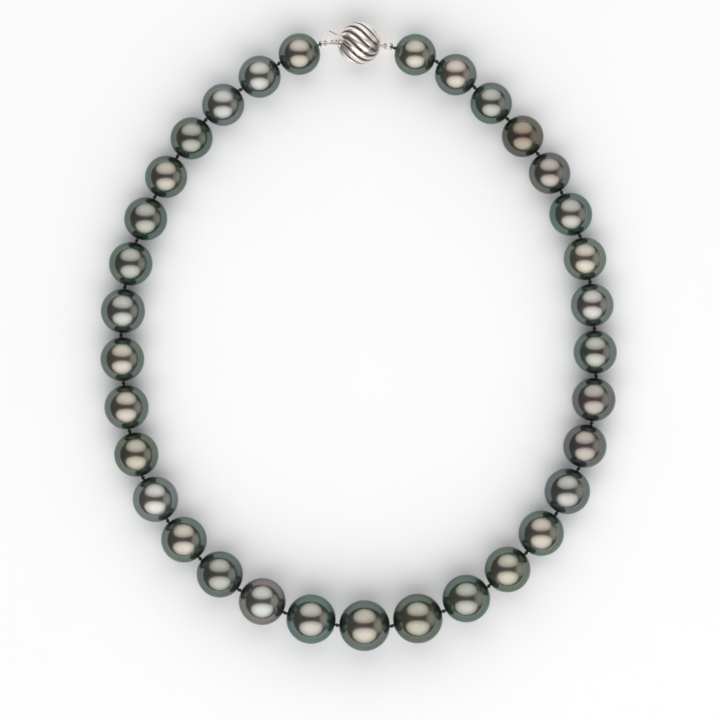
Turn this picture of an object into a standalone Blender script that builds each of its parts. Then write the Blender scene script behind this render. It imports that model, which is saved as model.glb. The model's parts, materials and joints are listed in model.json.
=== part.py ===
"""Pearl necklace: 33 graduated pearls knotted on black silk, closed by a pierced ball clasp with a spring tongue.

It lies flat on z = 0 with the clasp towards +Y. Lengths below are millimetres; the meshes are written in metres.
Each pearl's bore and each knot's hinge come from one layout, so that a changed size moves everything with it."""

import math

import bmesh
import bpy
import numpy as np
from mathutils import Matrix, Vector

# ---- sizes, mm
MID_D = 14.0        # the largest pearl, at the bottom of the loop
END_D = 11.5        # the pearls beside the clasp
KNOT_GAP = 1.07     # clear space that each knot keeps between two pearls
BORE_R = 0.50
KNOT_R = 0.50
THREAD_R = 0.30
BALL_R = 5.95
BALL_WALL = 0.95
RIBS = 14
RING_WIRE_R = 0.30
RING_L_MID = 0.87   # centre line radius of the left jump ring
RING_R_MID = 1.075
RING_L_GAP = 1.38   # left jump ring's centre to the face of pearl 1
RING_R_GAP = 2.10
TONGUE_Z = 1.20     # half width of the tongue
TONGUE_T = 0.50     # its thickness
LEAF_T = 0.40
SLOT_CLEAR = 0.12   # round the tongue in the ball's opening
RIB_TILT = 7.0      # degrees, the ribs' own axis against the clasp's line
RIB_TWIST = 78.0    # degrees that each rib turns from cap to cap
LEVER_L = 2.55      # the thumb lever, its thickness and its rise in degrees
LEVER_T = 0.60
LEVER_RISE = 29.0
LIP_CLEAR = 0.05    # shoulders to the ball's lip
LOOP_WIRE_R = 0.17  # the silk's end loops
LOOP_CLEAR = 0.10   # an eye or loop round a jump ring's wire
BORE_CLEAR = 0.06   # end knot in the bore's mouth

# share of (MID_D - END_D) that each pearl adds to END_D: strung by size, with the small steps of a matched strand
GRADE = [0.00, 0.05, 0.06, 0.06, 0.07, 0.17, 0.22, 0.30, 0.26, 0.30, 0.31, 0.42, 0.45, 0.52, 0.57, 0.85, 1.00,
         0.88, 0.67, 0.45, 0.42, 0.45, 0.20, 0.22, 0.19, 0.14, 0.12, 0.15, 0.00, 0.01, 0.00, 0.00, 0.00]
# the outline that the knots follow, mm before it is fitted: from the left jump ring down the left side, round, and up to
# the right jump ring
ROUTE = [(-9.7, 80.7), (-21.6, 75.2), (-41.3, 60.1), (-55.2, 39.4), (-63.6, 14.8), (-64.1, -11.6), (-58.8, -37.8),
         (-43.0, -60.2), (-20.0, -74.9), (9.1, -78.5), (35.5, -67.8), (54.2, -47.8), (63.8, -23.2), (64.6, 2.9),
         (60.6, 28.1), (49.1, 50.5), (31.4, 69.0), (21.0, 75.9), (8.2, 79.95)]
# colours, roughness and metallic value of each finish
FINISH = {"pearl": ((0.11, 0.13, 0.12, 1), 0.22, 0.3), "silk": ((0.012, 0.012, 0.014, 1), 0.6, 0.0),
          "white_gold": ((0.78, 0.74, 0.70, 1), 0.14, 1.0), "inside": ((0.20, 0.17, 0.14, 1), 0.4, 1.0)}


# ================================================================ layout
def diameters():
    return [END_D + (MID_D - END_D) * g for g in GRADE]


def clasp_points():
    """Ring centres against the ball's centre, mm, along the tongue's line."""
    left = np.array([-(BALL_R + 4.01), 0.0])
    right = np.array([BALL_R + 2.00, -0.72])
    return left, right


def smooth_loop(points, steps=40):
    p = np.array(points, float)
    n = len(p)
    t = np.arange(steps) / steps
    out = []
    for i in range(n):
        a, b, c, d = p[i - 1], p[i], p[(i + 1) % n], p[(i + 2) % n]
        s = t[:, None]
        out.append(0.5 * (2 * b + (c - a) * s + (2 * a - 5 * b + 4 * c - d) * s**2 + (3 * b - a - 3 * c + d) * s**3))
    return np.vstack(out)


def walk(curve, chords):
    """Points on the closed curve at these straight-line distances, one after another."""
    here, i = curve[0], 0
    out = [here]
    for c in chords:
        while np.linalg.norm(curve[(i + 1) % len(curve)] - here) < c:
            i += 1
        a, b = curve[i % len(curve)], curve[(i + 1) % len(curve)]
        u, w = b - a, a - here
        qa, qb, qc = u @ u, u @ w, w @ w - c * c
        here = a + u * ((-qb + math.sqrt(qb * qb - qa * qc)) / qa)
        out.append(here)
    return np.array(out), i / len(curve)


def layout():
    """Knot and pearl places in XY with the loop closed exactly by the clasp, all mm and centred at the end."""
    d = diameters()
    n = len(d)
    left, right = clasp_points()
    chords = [RING_L_GAP + d[0] + KNOT_GAP / 2] + [d[i] + KNOT_GAP for i in range(1, n - 1)]
    chords += [RING_R_GAP + d[n - 1] + KNOT_GAP / 2]
    span = np.linalg.norm(right - left)
    base = smooth_loop(ROUTE)
    low, high = 0.5, 2.0
    for _ in range(60):
        mid = (low + high) / 2
        pts, share = walk(base * mid, chords)
        over = share >= 1.0 or np.linalg.norm(pts[-1] - pts[0]) < span
        low, high = (mid, high) if over else (low, mid)
    pts, _ = walk(base * high, chords)
    # turned so that the tongue's line is level
    now, want = pts[-1] - pts[0], right - left
    turn = math.atan2(want[1], want[0]) - math.atan2(now[1], now[0])
    c, s = math.cos(turn), math.sin(turn)
    pts = pts @ np.array([[c, s], [-s, c]])
    centres = []
    for i in range(n):
        a, b = pts[i], pts[i + 1]
        u = (b - a) / np.linalg.norm(b - a)
        if i == 0:
            centres.append(b - u * (KNOT_GAP / 2 + d[0] / 2))
        elif i == n - 1:
            centres.append(a + u * (KNOT_GAP / 2 + d[i] / 2))
        else:
            centres.append((a + b) / 2)
    centres = np.array(centres)
    r = np.array(d) / 2
    ball = pts[0] - left
    lo = np.minimum((centres - r[:, None]).min(0), ball - BALL_R)
    hi = np.maximum((centres + r[:, None]).max(0), ball + BALL_R)
    mid = (lo + hi) / 2
    return {"r": r, "pearls": centres - mid, "knots": pts[1:-1] - mid, "ring_l": pts[0] - mid,
            "ring_r": pts[-1] - mid, "ball": ball - mid, "z_clasp": BALL_R + 0.02}


# ================================================================ making
def empty(name, place, parent=None):
    """A pivot on a joint's axis; place in mm."""
    obj = bpy.data.objects.new(name, None)
    obj.empty_display_size = 0.002
    bpy.context.scene.collection.objects.link(obj)
    put(obj, np.append(place, 0.0)[:3] if len(place) == 2 else place, parent)
    return obj


def put(obj, place, parent, turn=None):
    """Places an object in the world's mm, as a child of a pivot that isn't turned."""
    world = Vector([float(c) for c in place]) / 1000
    base = Vector((0, 0, 0))
    if parent is not None:
        obj.parent = parent
        up = parent
        while up is not None:
            base += up.location
            up = up.parent
    obj.location = world - base
    if turn is not None:
        obj.rotation_euler = Matrix([[float(c) for c in row] for row in turn[:3, :3]]).to_euler()


def add(name, bm, finish, place, parent, turn=None):
    """Closes a bmesh made in mm into an object with its material, smooth where it is round."""
    bmesh.ops.recalc_face_normals(bm, faces=bm.faces)
    bmesh.ops.scale(bm, vec=(0.001, 0.001, 0.001), verts=bm.verts)
    mesh = bpy.data.meshes.new(name)
    bm.to_mesh(mesh)
    bm.free()
    mesh.shade_smooth()
    mesh.set_sharp_from_angle(angle=math.radians(50))
    obj = bpy.data.objects.new(name, mesh)
    bpy.context.scene.collection.objects.link(obj)
    dress(obj, finish)
    put(obj, place, parent, turn)
    return obj


def dress(obj, finish):
    colour, rough, metal = FINISH[finish]
    mat = bpy.data.materials.new(obj.name + "_" + finish)
    mat.use_nodes = True
    shader = mat.node_tree.nodes["Principled BSDF"]
    shader.inputs["Base Color"].default_value = colour
    shader.inputs["Roughness"].default_value = rough
    shader.inputs["Metallic"].default_value = metal
    obj.data.materials.append(mat)


def turned(profile, segments):
    """A profile of (x, r) pairs spun round local x. It is a ring if it doesn't start and end at r = 0."""
    bm = bmesh.new()
    verts = [bm.verts.new((x, 0.0, -r)) for x, r in profile]
    edges = [bm.edges.new(pair) for pair in zip(verts, verts[1:])]
    if profile[0][1] > 0:
        edges.append(bm.edges.new((verts[-1], verts[0])))
    bmesh.ops.spin(bm, geom=verts + edges, cent=(0, 0, 0), axis=(1, 0, 0), angle=2 * math.pi, steps=segments)
    bmesh.ops.remove_doubles(bm, verts=bm.verts, dist=1e-4)
    return bm


def raised(outline, z0, z1):
    """A flat outline in XY, extruded from z0 to z1."""
    bm = bmesh.new()
    face = bm.faces.new([bm.verts.new((x, y, z0)) for x, y in outline])
    up = bmesh.ops.extrude_face_region(bm, geom=[face])["geom"]
    bmesh.ops.translate(bm, verts=[g for g in up if isinstance(g, bmesh.types.BMVert)], vec=(0, 0, z1 - z0))
    return bm


def wire(name, path, radius, finish, place, parent, turn=None, closed=False, sides=2):
    """A round bar along 3-D points given in mm, as a bevelled curve."""
    curve = bpy.data.curves.new(name, "CURVE")
    curve.dimensions = "3D"
    spline = curve.splines.new("POLY")
    spline.points.add(len(path) - 1)
    for point, co in zip(spline.points, path):
        point.co = (co[0] / 1000, co[1] / 1000, co[2] / 1000, 1)
    spline.use_cyclic_u = closed
    curve.bevel_depth = radius / 1000
    curve.bevel_resolution = sides
    curve.use_fill_caps = not closed
    obj = bpy.data.objects.new(name, curve)
    bpy.context.scene.collection.objects.link(obj)
    dress(obj, finish)
    put(obj, place, parent, turn)
    return obj


def as_mesh(obj):
    """A curve's surface as a closed mesh of its own, with the caps joined on."""
    bpy.context.view_layer.update()
    got = bpy.data.meshes.new_from_object(obj.evaluated_get(bpy.context.evaluated_depsgraph_get()))
    bm = bmesh.new()
    bm.from_mesh(got)
    bmesh.ops.remove_doubles(bm, verts=bm.verts, dist=1e-7)
    bmesh.ops.recalc_face_normals(bm, faces=bm.faces)
    bm.to_mesh(got)
    bm.free()
    new = bpy.data.objects.new(obj.name, got)
    name = obj.name
    new.parent, new.location, new.rotation_euler = obj.parent, obj.location.copy(), obj.rotation_euler.copy()
    bpy.context.scene.collection.objects.link(new)
    bpy.data.objects.remove(obj)
    new.name = name
    return new


def combine(target, tool, operation):
    mod = target.modifiers.new(operation.lower() + "_" + tool.name, "BOOLEAN")
    mod.operation, mod.object, mod.solver = operation, tool, "EXACT"
    tool.hide_render = True
    tool.display_type = "WIRE"


def facing(along):
    """A turn with local +x along this direction and local +y level."""
    u = np.array([along[0], along[1], along[2] if len(along) > 2 else 0.0])
    u = u / np.linalg.norm(u)
    side = np.cross([0, 0, 1], u)
    side = side / np.linalg.norm(side)
    return np.column_stack([u, side, np.cross(u, side)])


# ================================================================ pearls and silk
def pearl(name, place, r, along, parent):
    """A ball with its bore, rings of equal angle from one rim of the bore to the other."""
    start = math.asin(BORE_R / r)
    rings = [start + (math.pi / 2 - start) * i / 5 for i in range(6)]
    rings += [math.pi - a for a in reversed(rings[:-1])]
    return add(name, turned([(r * math.cos(a), r * math.sin(a)) for a in rings], 16), "pearl", place, parent, facing(along))


def knot_rows(x, radius, side):
    """Rows of (x, r) of a round knot at x, from its thread side outwards."""
    start = math.asin(THREAD_R / radius)
    return [(x - side * radius * math.cos(start + (math.pi - start) * i / 4),
             radius * math.sin(start + (math.pi - start) * i / 4)) for i in range(4)]


def silk(name, a, b, z, parent):
    """Thread through one pearl with its two knots, between knot places a and b."""
    half = np.linalg.norm(b - a) / 2
    right = knot_rows(half, KNOT_R, 1)
    left = [(-x, r) for x, r in right]
    profile = [(-half - KNOT_R, 0.0)] + left[::-1] + right + [(half + KNOT_R, 0.0)]
    mid = (a + b) / 2
    return add(name, turned(profile, 8), "silk", [mid[0], mid[1], z], parent, facing(b - a))


def end_silk(name, centre, r, ring, ring_mid, knot_out, z_clasp, parent):
    """The thread in an end pearl, its end knot at the bore's mouth, and the loop round the jump ring's wire."""
    flat = np.linalg.norm(ring - centre)
    wire_at = np.append(centre + (ring - centre) * (1 - ring_mid / flat), z_clasp)
    from_pearl = np.append(centre, r)
    reach = np.linalg.norm(wire_at - from_pearl)
    knot_at = r + knot_out
    radius = KNOT_R - BORE_CLEAR
    profile = [(-(r - 0.15), 0.0), (-(r - 0.15), THREAD_R)] + knot_rows(knot_at, radius, 1) + [(knot_at + radius, 0.0)]
    turn = facing(wire_at - from_pearl)
    obj = add(name, turned(profile, 8), "silk", from_pearl, parent, turn)
    hold = RING_WIRE_R + LOOP_CLEAR + LOOP_WIRE_R
    path = [(knot_at, 0.0, -0.20), (reach - 0.34, 0.0, -0.45)]
    for deg in (-90, -60, -30, 0, 30, 60, 90):
        a = math.radians(deg)
        path.append((reach + hold * math.cos(a), 0.0, hold * math.sin(a)))
    path += [(reach - 0.34, 0.0, 0.45), (knot_at, 0.0, 0.20)]
    loop = as_mesh(wire("tool_" + name, path, LOOP_WIRE_R, "silk", from_pearl, parent, turn))
    combine(obj, loop, "UNION")
    return obj


# ================================================================ clasp
STRIP_Y = -0.07              # the strip's middle, against the ball's centre
EYE_Y = -0.72                # the right eye's
NECK_Z = 0.50                # half width of the leaf's neck
FOLD = (BALL_R - 4.25, 0.60)  # the leaf's hinge line inside the ball
BARREL_R = 0.35
FOLD_CLEAR = 0.06
FOLD_T = 0.36
SHOULDER_X = -(BALL_R - 1.80)
BOX_END = BALL_R - 2.65
BOX_T = 0.30
BOX_CLEAR = 0.15
LEAF_SLOPE = (2.12 - FOLD[1]) / (-(BALL_R - 0.65) - FOLD[0])
# the shoulders' highest corner, and the lip just above it
LEAF_TOP = FOLD[1] + LEAF_SLOPE * (SHOULDER_X - FOLD[0]) + LEAF_T / 2 * math.hypot(1, LEAF_SLOPE)
LIP_Y = LEAF_TOP + LIP_CLEAR
NOTCH_Y = 2.78
STEM_R = 0.42
STEM_CLEAR = 0.05


def fluted_ball(name, place, parent):
    """A shell of twisted ribs between two caps, with the pierced gaps between them. Each rib has a raised crown; a rib's
    angle round the ribs' axis swings by RIB_TWIST from cap to cap."""
    cap_l, cap_r = math.radians(26.0), math.radians(15.0)
    polar = [math.radians(4.9), math.radians(16.0), cap_l]
    polar += [cap_l + (math.pi - cap_l - cap_r) * i / 8 for i in range(1, 8)]
    polar += [math.pi - cap_r, math.pi - math.radians(10.0), math.pi - math.radians(4.9)]
    twist, tilt = math.radians(RIB_TWIST), math.radians(-RIB_TILT)
    share = [0.0, 0.345, 0.69]                 # near edge, crown and far edge of each rib in its pitch
    cols = RIBS * 3
    bm = bmesh.new()
    grid = []
    for th in polar:
        f = min(max((th - cap_l) / (math.pi - cap_l - cap_r), 0.0), 1.0)
        swing = twist * (f * f * (3 - 2 * f) * 0.6 + f * 0.4)
        row = []
        for c in range(cols):
            rib, part = divmod(c, 3)
            ph = 2 * math.pi * (rib + share[part]) / RIBS + swing
            r = BALL_R - (0.22 * math.sqrt(math.sin(math.pi * f)) if part != 1 and 0 < f < 1 else 0.0)
            row.append(bm.verts.new((-r * math.cos(th), r * math.sin(th) * math.cos(ph), r * math.sin(th) * math.sin(ph))))
        grid.append(row)
    last = len(polar) - 1
    for i in range(last):
        for c in range(cols):
            if i < 2 or i >= last - 2 or c % 3 != 2:
                d = (c + 1) % cols
                bm.faces.new([grid[i][c], grid[i][d], grid[i + 1][d], grid[i + 1][c]])
    bmesh.ops.rotate(bm, cent=(0, 0, 0), matrix=Matrix.Rotation(tilt, 3, "Z"), verts=bm.verts)
    # the open sheet's faces point out before it gets its wall
    bm.normal_update()
    bm.faces.ensure_lookup_table()
    first = bm.faces[0]
    if first.normal.dot(first.calc_center_median()) < 0:
        bmesh.ops.reverse_faces(bm, faces=bm.faces)
    bmesh.ops.scale(bm, vec=(0.001, 0.001, 0.001), verts=bm.verts)
    mesh = bpy.data.meshes.new(name)
    bm.to_mesh(mesh)
    bm.free()
    mesh.shade_smooth()
    mesh.set_sharp_from_angle(angle=math.radians(50))
    obj = bpy.data.objects.new(name, mesh)
    bpy.context.scene.collection.objects.link(obj)
    dress(obj, "white_gold")
    put(obj, place, parent)
    wall = obj.modifiers.new("wall", "SOLIDIFY")
    wall.thickness, wall.offset, wall.use_even_offset = BALL_WALL / 1000, -1.0, False
    # the opening: wide for the shoulders below, a notch for the lever's neck above
    low = STRIP_Y - TONGUE_T / 2 - SLOT_CLEAR
    w, nz = TONGUE_Z + SLOT_CLEAR, NECK_Z + SLOT_CLEAR
    outline = [(low, -w), (LIP_Y, -w), (LIP_Y, -nz), (NOTCH_Y, -nz), (NOTCH_Y, nz), (LIP_Y, nz), (LIP_Y, w), (low, w)]
    combine(obj, add("tool_opening", across(outline, -BALL_R - 1.0, -BALL_R + 2.2), "inside", place, parent), "DIFFERENCE")
    hole = turned([(BALL_R - 2.5, 0.0), (BALL_R - 2.5, STEM_R + STEM_CLEAR), (BALL_R + 1.0, STEM_R + STEM_CLEAR), (BALL_R + 1.0, 0.0)], 12)
    combine(obj, add("tool_stem_hole", hole, "inside", np.add(place, (0, EYE_Y, 0)), parent), "DIFFERENCE")
    return obj


def across(outline, x0, x1):
    """An outline of (y, z) pairs, extruded from x0 to x1."""
    bm = bmesh.new()
    face = bm.faces.new([bm.verts.new((x0, y, z)) for y, z in outline])
    far = bmesh.ops.extrude_face_region(bm, geom=[face])["geom"]
    bmesh.ops.translate(bm, verts=[g for g in far if isinstance(g, bmesh.types.BMVert)], vec=(x1 - x0, 0, 0))
    return bm


def box_outline(y0, y1, z):
    return [(y0, -z), (y1, -z), (y1, z), (y0, z)]


def catch_box(name, place, parent):
    """A square tube round the tongue, open to the left and closed on the right."""
    x0 = -(BALL_R - 2.35)
    y0, y1, z = STRIP_Y - TONGUE_T / 2 - BOX_CLEAR, LIP_Y + BOX_CLEAR + 0.02, TONGUE_Z + BOX_CLEAR
    obj = add(name, across(box_outline(y0 - BOX_T, y1 + BOX_T, z + BOX_T), x0, BOX_END), "inside", place, parent)
    combine(obj, add("tool_box", across(box_outline(y0, y1, z), x0 - 1.0, BOX_END - BOX_T), "inside", place, parent), "DIFFERENCE")
    return obj


def ball_eye(name, place, parent):
    """The stem through the ball's right pole with the eye that the right jump ring hangs in."""
    bar = 0.22
    mid = RING_WIRE_R + LOOP_CLEAR + 0.02 + bar
    cx = clasp_points()[1][0] - RING_R_MID
    eye = np.add(place, (0, EYE_Y, 0))
    end = cx - mid - 0.12
    stem = turned([(BOX_END + 0.02, 0.0), (BOX_END + 0.02, STEM_R), (end, STEM_R), (end + 0.25, 0.26), (end + 0.25, 0.0)], 10)
    obj = add(name, stem, "white_gold", eye, parent)
    ring = torus("tool_" + name, mid, bar, 12, 6, np.add(eye, (cx, 0, 0)), parent, upright=True)
    combine(obj, ring, "UNION")
    return obj


def torus(name, mid, bar, around, sides, place, parent, upright=False):
    bpy.ops.mesh.primitive_torus_add(major_radius=mid / 1000, minor_radius=bar / 1000, major_segments=around, minor_segments=sides)
    obj = bpy.context.active_object
    obj.name = obj.data.name = name
    obj.data.shade_smooth()
    dress(obj, "white_gold")
    put(obj, place, parent)
    if upright:
        obj.rotation_euler = (math.pi / 2, 0, 0)
    return obj


def tongue_strip(name, place, parent):
    """The flat strip from the left jump ring into the ball, folded up round the leaf's barrel at its inner end."""
    left, _ = clasp_points()
    y0, y1 = STRIP_Y - TONGUE_T / 2, STRIP_Y + TONGUE_T / 2
    end = left[0] + 0.16
    inner = BARREL_R + FOLD_CLEAR
    outer = inner + FOLD_T
    fx, fy = FOLD
    arc = [math.radians(a) for a in (-62, -34, -6, 22, 50)]
    outline = [(end, y0), (fx, y0)]
    outline += [(fx + outer * math.cos(a), fy + outer * math.sin(a)) for a in arc]
    outline += [(fx + inner * math.cos(a), fy + inner * math.sin(a)) for a in reversed(arc)]
    outline += [(fx - 0.05, y1), (end, y1)]
    obj = add(name, raised(outline, -TONGUE_Z, TONGUE_Z), "white_gold", place, parent)
    # the neck outside the ball is narrower
    for side in (-1, 1):
        trim = [(end - 1.0, y0 - 1), (-(BALL_R + 1.9), y0 - 1), (-(BALL_R + 1.9), y1 + 1), (end - 1.0, y1 + 1)]
        combine(obj, add(f"tool_side_{side + 1}", raised(trim, *sorted((side * 0.78, side * 3.0))), "inside", place, parent), "DIFFERENCE")
    bm = bmesh.new()
    bmesh.ops.create_cone(bm, cap_ends=True, segments=12, radius1=RING_WIRE_R + SLOT_CLEAR, radius2=RING_WIRE_R + SLOT_CLEAR, depth=4.0,
                          matrix=Matrix.Rotation(math.pi / 2, 4, "X"))
    hole = add("tool_eye_hole", bm, "inside", np.add(place, (left[0] + RING_L_MID, STRIP_Y, 0)), parent)
    combine(obj, hole, "DIFFERENCE")
    return obj


def spring_leaf(name, place, ball, parent):
    """The upper leaf: a barrel at the fold, the shoulders that catch behind the lip, the neck and the thumb lever.
    Its origin is on the fold's hinge line."""
    fx, fy = FOLD
    along = np.array([-1.0, -LEAF_SLOPE]) / math.hypot(1, LEAF_SLOPE)
    up = np.array([along[1], -along[0]])
    length = (fx - SHOULDER_X) / -along[0]
    h = LEAF_T / 2
    half, base = math.degrees(math.asin(h / BARREL_R)), math.degrees(math.atan2(along[1], along[0]))
    outline = [(BARREL_R * math.cos(math.radians(a)), BARREL_R * math.sin(math.radians(a)))
               for a in np.linspace(base + half, base + 360 - half, 13)]
    tip = along * length
    outline += [tuple(tip + up * h), tuple(tip - up * h)]
    obj = add(name, raised(outline, -TONGUE_Z, TONGUE_Z), "white_gold", place, parent)
    # neck and lever: one bent bar, thicker at the thumb
    neck = along * (length + 1.15)
    bend = np.array([-BALL_R - 0.05, 2.26]) - np.array([fx, fy])
    rise = np.array([-math.cos(math.radians(LEVER_RISE)), math.sin(math.radians(LEVER_RISE))])
    side = np.array([rise[1], -rise[0]])
    thumb, n, t = bend + rise * LEVER_L, 0.16, LEVER_T / 2
    bar = [along * (length - 0.6) + up * n, neck + up * n, bend + side * 0.17, bend + rise * 0.5 + side * t,
           thumb - rise * 0.2 + side * t, thumb + side * 0.12, thumb - side * 0.12, thumb - rise * 0.2 - side * t,
           bend + rise * 0.5 - side * t, bend - side * 0.17, neck - up * n, along * (length - 0.6) - up * n]
    lever = add("tool_" + name, raised([tuple(p) for p in bar], -NECK_Z, NECK_Z), "white_gold", place, parent)
    combine(obj, lever, "UNION")
    return obj


def guard_loop(name, place, parent):
    """The small oval loop that stands on the strip just outside the ball."""
    cx, cy = -(BALL_R + 0.93), STRIP_Y + TONGUE_T / 2 + 0.58
    path = [(cx + 0.72 * math.cos(2 * math.pi * k / 14), cy + 0.34 * math.sin(2 * math.pi * k / 14), 0.0) for k in range(14)]
    return wire(name, path, 0.22, "white_gold", place, parent, closed=True, sides=1)


def build():
    p = layout()
    n = len(p["r"])
    middle = n // 2
    heights = [(p["r"][i] + p["r"][i + 1]) / 2 for i in range(n - 1)]
    # one pivot on each knot, each the child of the one nearer the middle pearl
    pivots = {middle: empty("pivot_middle", (*p["pearls"][middle], 0.0))}
    for i in range(middle - 1, -1, -1):
        pivots[i] = empty(f"pivot_{i + 1:02d}", (*p["knots"][i], heights[i]), pivots[i + 1])
    for i in range(middle + 1, n):
        pivots[i] = empty(f"pivot_{i + 1:02d}", (*p["knots"][i - 1], heights[i - 1]), pivots[i - 1])
    for i in range(n):
        if i in (0, n - 1):
            ring, mid = (p["ring_l"], RING_L_MID) if i == 0 else (p["ring_r"], RING_R_MID)
            flat = ring - p["pearls"][i]
            along = np.append(flat * (1 - mid / np.linalg.norm(flat)), p["z_clasp"] - p["r"][i])
        else:
            along = p["knots"][i] - p["knots"][i - 1]
        pearl(f"pearl_{i + 1:02d}", (*p["pearls"][i], p["r"][i]), p["r"][i], along, pivots[i])
    for i in range(1, n - 1, 2):
        silk(f"silk_{i + 1:02d}", p["knots"][i - 1], p["knots"][i], p["r"][i], pivots[i])
    z = p["z_clasp"]
    end_silk("silk_end_left", p["pearls"][0], p["r"][0], p["ring_l"], RING_L_MID, -0.30, z, pivots[0])
    end_silk("silk_end_right", p["pearls"][-1], p["r"][-1], p["ring_r"], RING_R_MID, 0.28, z, pivots[n - 1])
    tongue, ball = empty("pivot_tongue", (*p["ring_l"], z), pivots[0]), empty("pivot_ball", (*p["ring_r"], z), pivots[n - 1])
    torus("jump_ring_left", RING_L_MID, RING_WIRE_R, 24, 8, (*p["ring_l"], z), tongue)
    torus("jump_ring_right", RING_R_MID, RING_WIRE_R, 24, 8, (*p["ring_r"], z), ball)
    at = np.array([*p["ball"], z])
    fluted_ball("ball_shell", at, ball)
    catch_box("catch_box", at, ball)
    ball_eye("ball_eye", at, ball)
    tongue_strip("tongue_strip", at, tongue)
    guard_loop("guard_loop", at, tongue)
    spring_leaf("spring_leaf", at + np.array([FOLD[0], FOLD[1], 0.0]), at, tongue)


for thing in list(bpy.data.objects):
    bpy.data.objects.remove(thing)
build()
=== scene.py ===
"""Pearl necklace: dark graduated pearls on knotted black silk with a fluted ball clasp, seen from straight above.

Every surface is a grid of points worked out in one go from two parameters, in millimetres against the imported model's
boxes, and written to its mesh in metres."""

import json
import math

import bpy
import numpy as np
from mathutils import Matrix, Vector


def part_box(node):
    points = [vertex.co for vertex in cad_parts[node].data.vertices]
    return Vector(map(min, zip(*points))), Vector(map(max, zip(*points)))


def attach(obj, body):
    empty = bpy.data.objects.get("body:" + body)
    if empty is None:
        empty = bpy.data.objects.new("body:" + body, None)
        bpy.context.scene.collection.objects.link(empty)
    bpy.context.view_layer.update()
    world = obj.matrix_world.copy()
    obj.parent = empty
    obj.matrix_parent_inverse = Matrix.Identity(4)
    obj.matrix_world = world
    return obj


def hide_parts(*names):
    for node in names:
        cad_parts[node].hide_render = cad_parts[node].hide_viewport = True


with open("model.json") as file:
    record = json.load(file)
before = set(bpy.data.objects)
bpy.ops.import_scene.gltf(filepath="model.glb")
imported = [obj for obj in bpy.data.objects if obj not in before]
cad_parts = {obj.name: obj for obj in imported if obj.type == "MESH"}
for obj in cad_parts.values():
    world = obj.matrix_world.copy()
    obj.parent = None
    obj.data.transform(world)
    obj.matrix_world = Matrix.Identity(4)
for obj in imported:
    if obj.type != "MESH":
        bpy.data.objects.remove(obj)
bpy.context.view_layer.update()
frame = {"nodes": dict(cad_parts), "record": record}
MM = 1000.0
TAU = 2 * math.pi


# ================================================================ surfaces
def grid_faces(rows, cols, first=0, wrap_rows=False):
    """Quads between each point of a rows x cols grid and its next ones; the columns always close on themselves, and the
    rows do if asked."""
    i = np.arange(rows if wrap_rows else rows - 1)[:, None]
    j = np.arange(cols)[None, :]
    i2, j2 = (i + 1) % rows, (j + 1) % cols
    quad = np.stack([i * cols + j, i * cols + j2, i2 * cols + j2, i2 * cols + j], axis=-1)
    return quad.reshape(-1, 4) + first


def ring_loft(points, wrap_rows=False, marks=None):
    """A shell from an array (rows, columns, 3): each row is a closed ring. Rows that don't wrap get a middle point at
    each end, joined to the end ring by triangles. The sign of the volume that the faces enclose, the sum of each
    triangle's corner times the cross product of its other two, tells whether they look outwards."""
    rows, cols = points.shape[:2]
    verts = points.reshape(-1, 3)
    marks = np.zeros(rows * cols) if marks is None else np.broadcast_to(marks, (rows, cols)).reshape(-1)
    quads = grid_faces(rows, cols, wrap_rows=wrap_rows)
    tris = np.empty((0, 3), int)
    if not wrap_rows:
        caps = np.stack([points[0].mean(0), points[-1].mean(0)])
        n = rows * cols
        verts = np.vstack([verts, caps])
        marks = np.append(marks, [marks[0], marks[-1]])
        j = np.arange(cols)
        k = (j + 1) % cols
        last = (rows - 1) * cols
        tris = np.vstack([np.stack([k, j, np.full(cols, n)], axis=1),
                          np.stack([last + j, last + k, np.full(cols, n + 1)], axis=1)])
    split = np.vstack([quads[:, [0, 1, 2]], quads[:, [0, 2, 3]], tris])
    volume = np.einsum("ij,ij->i", verts[split[:, 0]], np.cross(verts[split[:, 1]], verts[split[:, 2]])).sum()
    if volume < 0:
        quads, tris = quads[:, ::-1], tris[:, ::-1]
    return verts, quads, tris, marks


def make_piece(name, shells, finish, body, stands_for):
    """Joins shells into one smooth mesh with its point attribute 'mark', and hangs it on its body."""
    at = np.cumsum([0] + [len(s[0]) for s in shells])
    verts = np.vstack([s[0] for s in shells]) / MM
    quads = np.vstack([s[1] + k for s, k in zip(shells, at)])
    tris = np.vstack([s[2] + k for s, k in zip(shells, at)])
    marks = np.concatenate([s[3] for s in shells])
    mesh = bpy.data.meshes.new(name)
    mesh.vertices.add(len(verts))
    mesh.vertices.foreach_set("co", verts.astype(np.float32).ravel())
    mesh.loops.add(quads.size + tris.size)
    mesh.loops.foreach_set("vertex_index", np.concatenate([quads.ravel(), tris.ravel()]).astype(np.int32))
    mesh.polygons.add(len(quads) + len(tris))
    starts = np.concatenate([np.arange(len(quads)) * 4, quads.size + np.arange(len(tris)) * 3])
    mesh.polygons.foreach_set("loop_start", starts.astype(np.int32))
    mesh.update(calc_edges=True)
    mesh.validate()
    mesh.attributes.new("mark", "FLOAT", "POINT").data.foreach_set("value", marks.astype(np.float32))
    mesh.shade_smooth()
    mesh.set_sharp_from_angle(angle=math.radians(48))
    mesh.materials.append(finish)
    obj = bpy.data.objects.new(name, mesh)
    bpy.context.scene.collection.objects.link(obj)
    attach(obj, body)
    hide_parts(*stands_for)
    return obj


def turning_frame(path):
    """Frames carried along a path without any spin of their own: each step turns the last side vector only as much as
    the path itself turns."""
    t = np.gradient(path, axis=0)
    t /= np.linalg.norm(t, axis=1, keepdims=True)
    side = np.cross(t[0], np.eye(3)[int(np.argmin(np.abs(t[0])))])
    side /= np.linalg.norm(side)
    out = []
    for tangent in t:
        side = side - tangent * (side @ tangent)
        side = side / np.linalg.norm(side)
        out.append(side)
    side = np.array(out)
    return t, side, np.cross(t, side)


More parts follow.
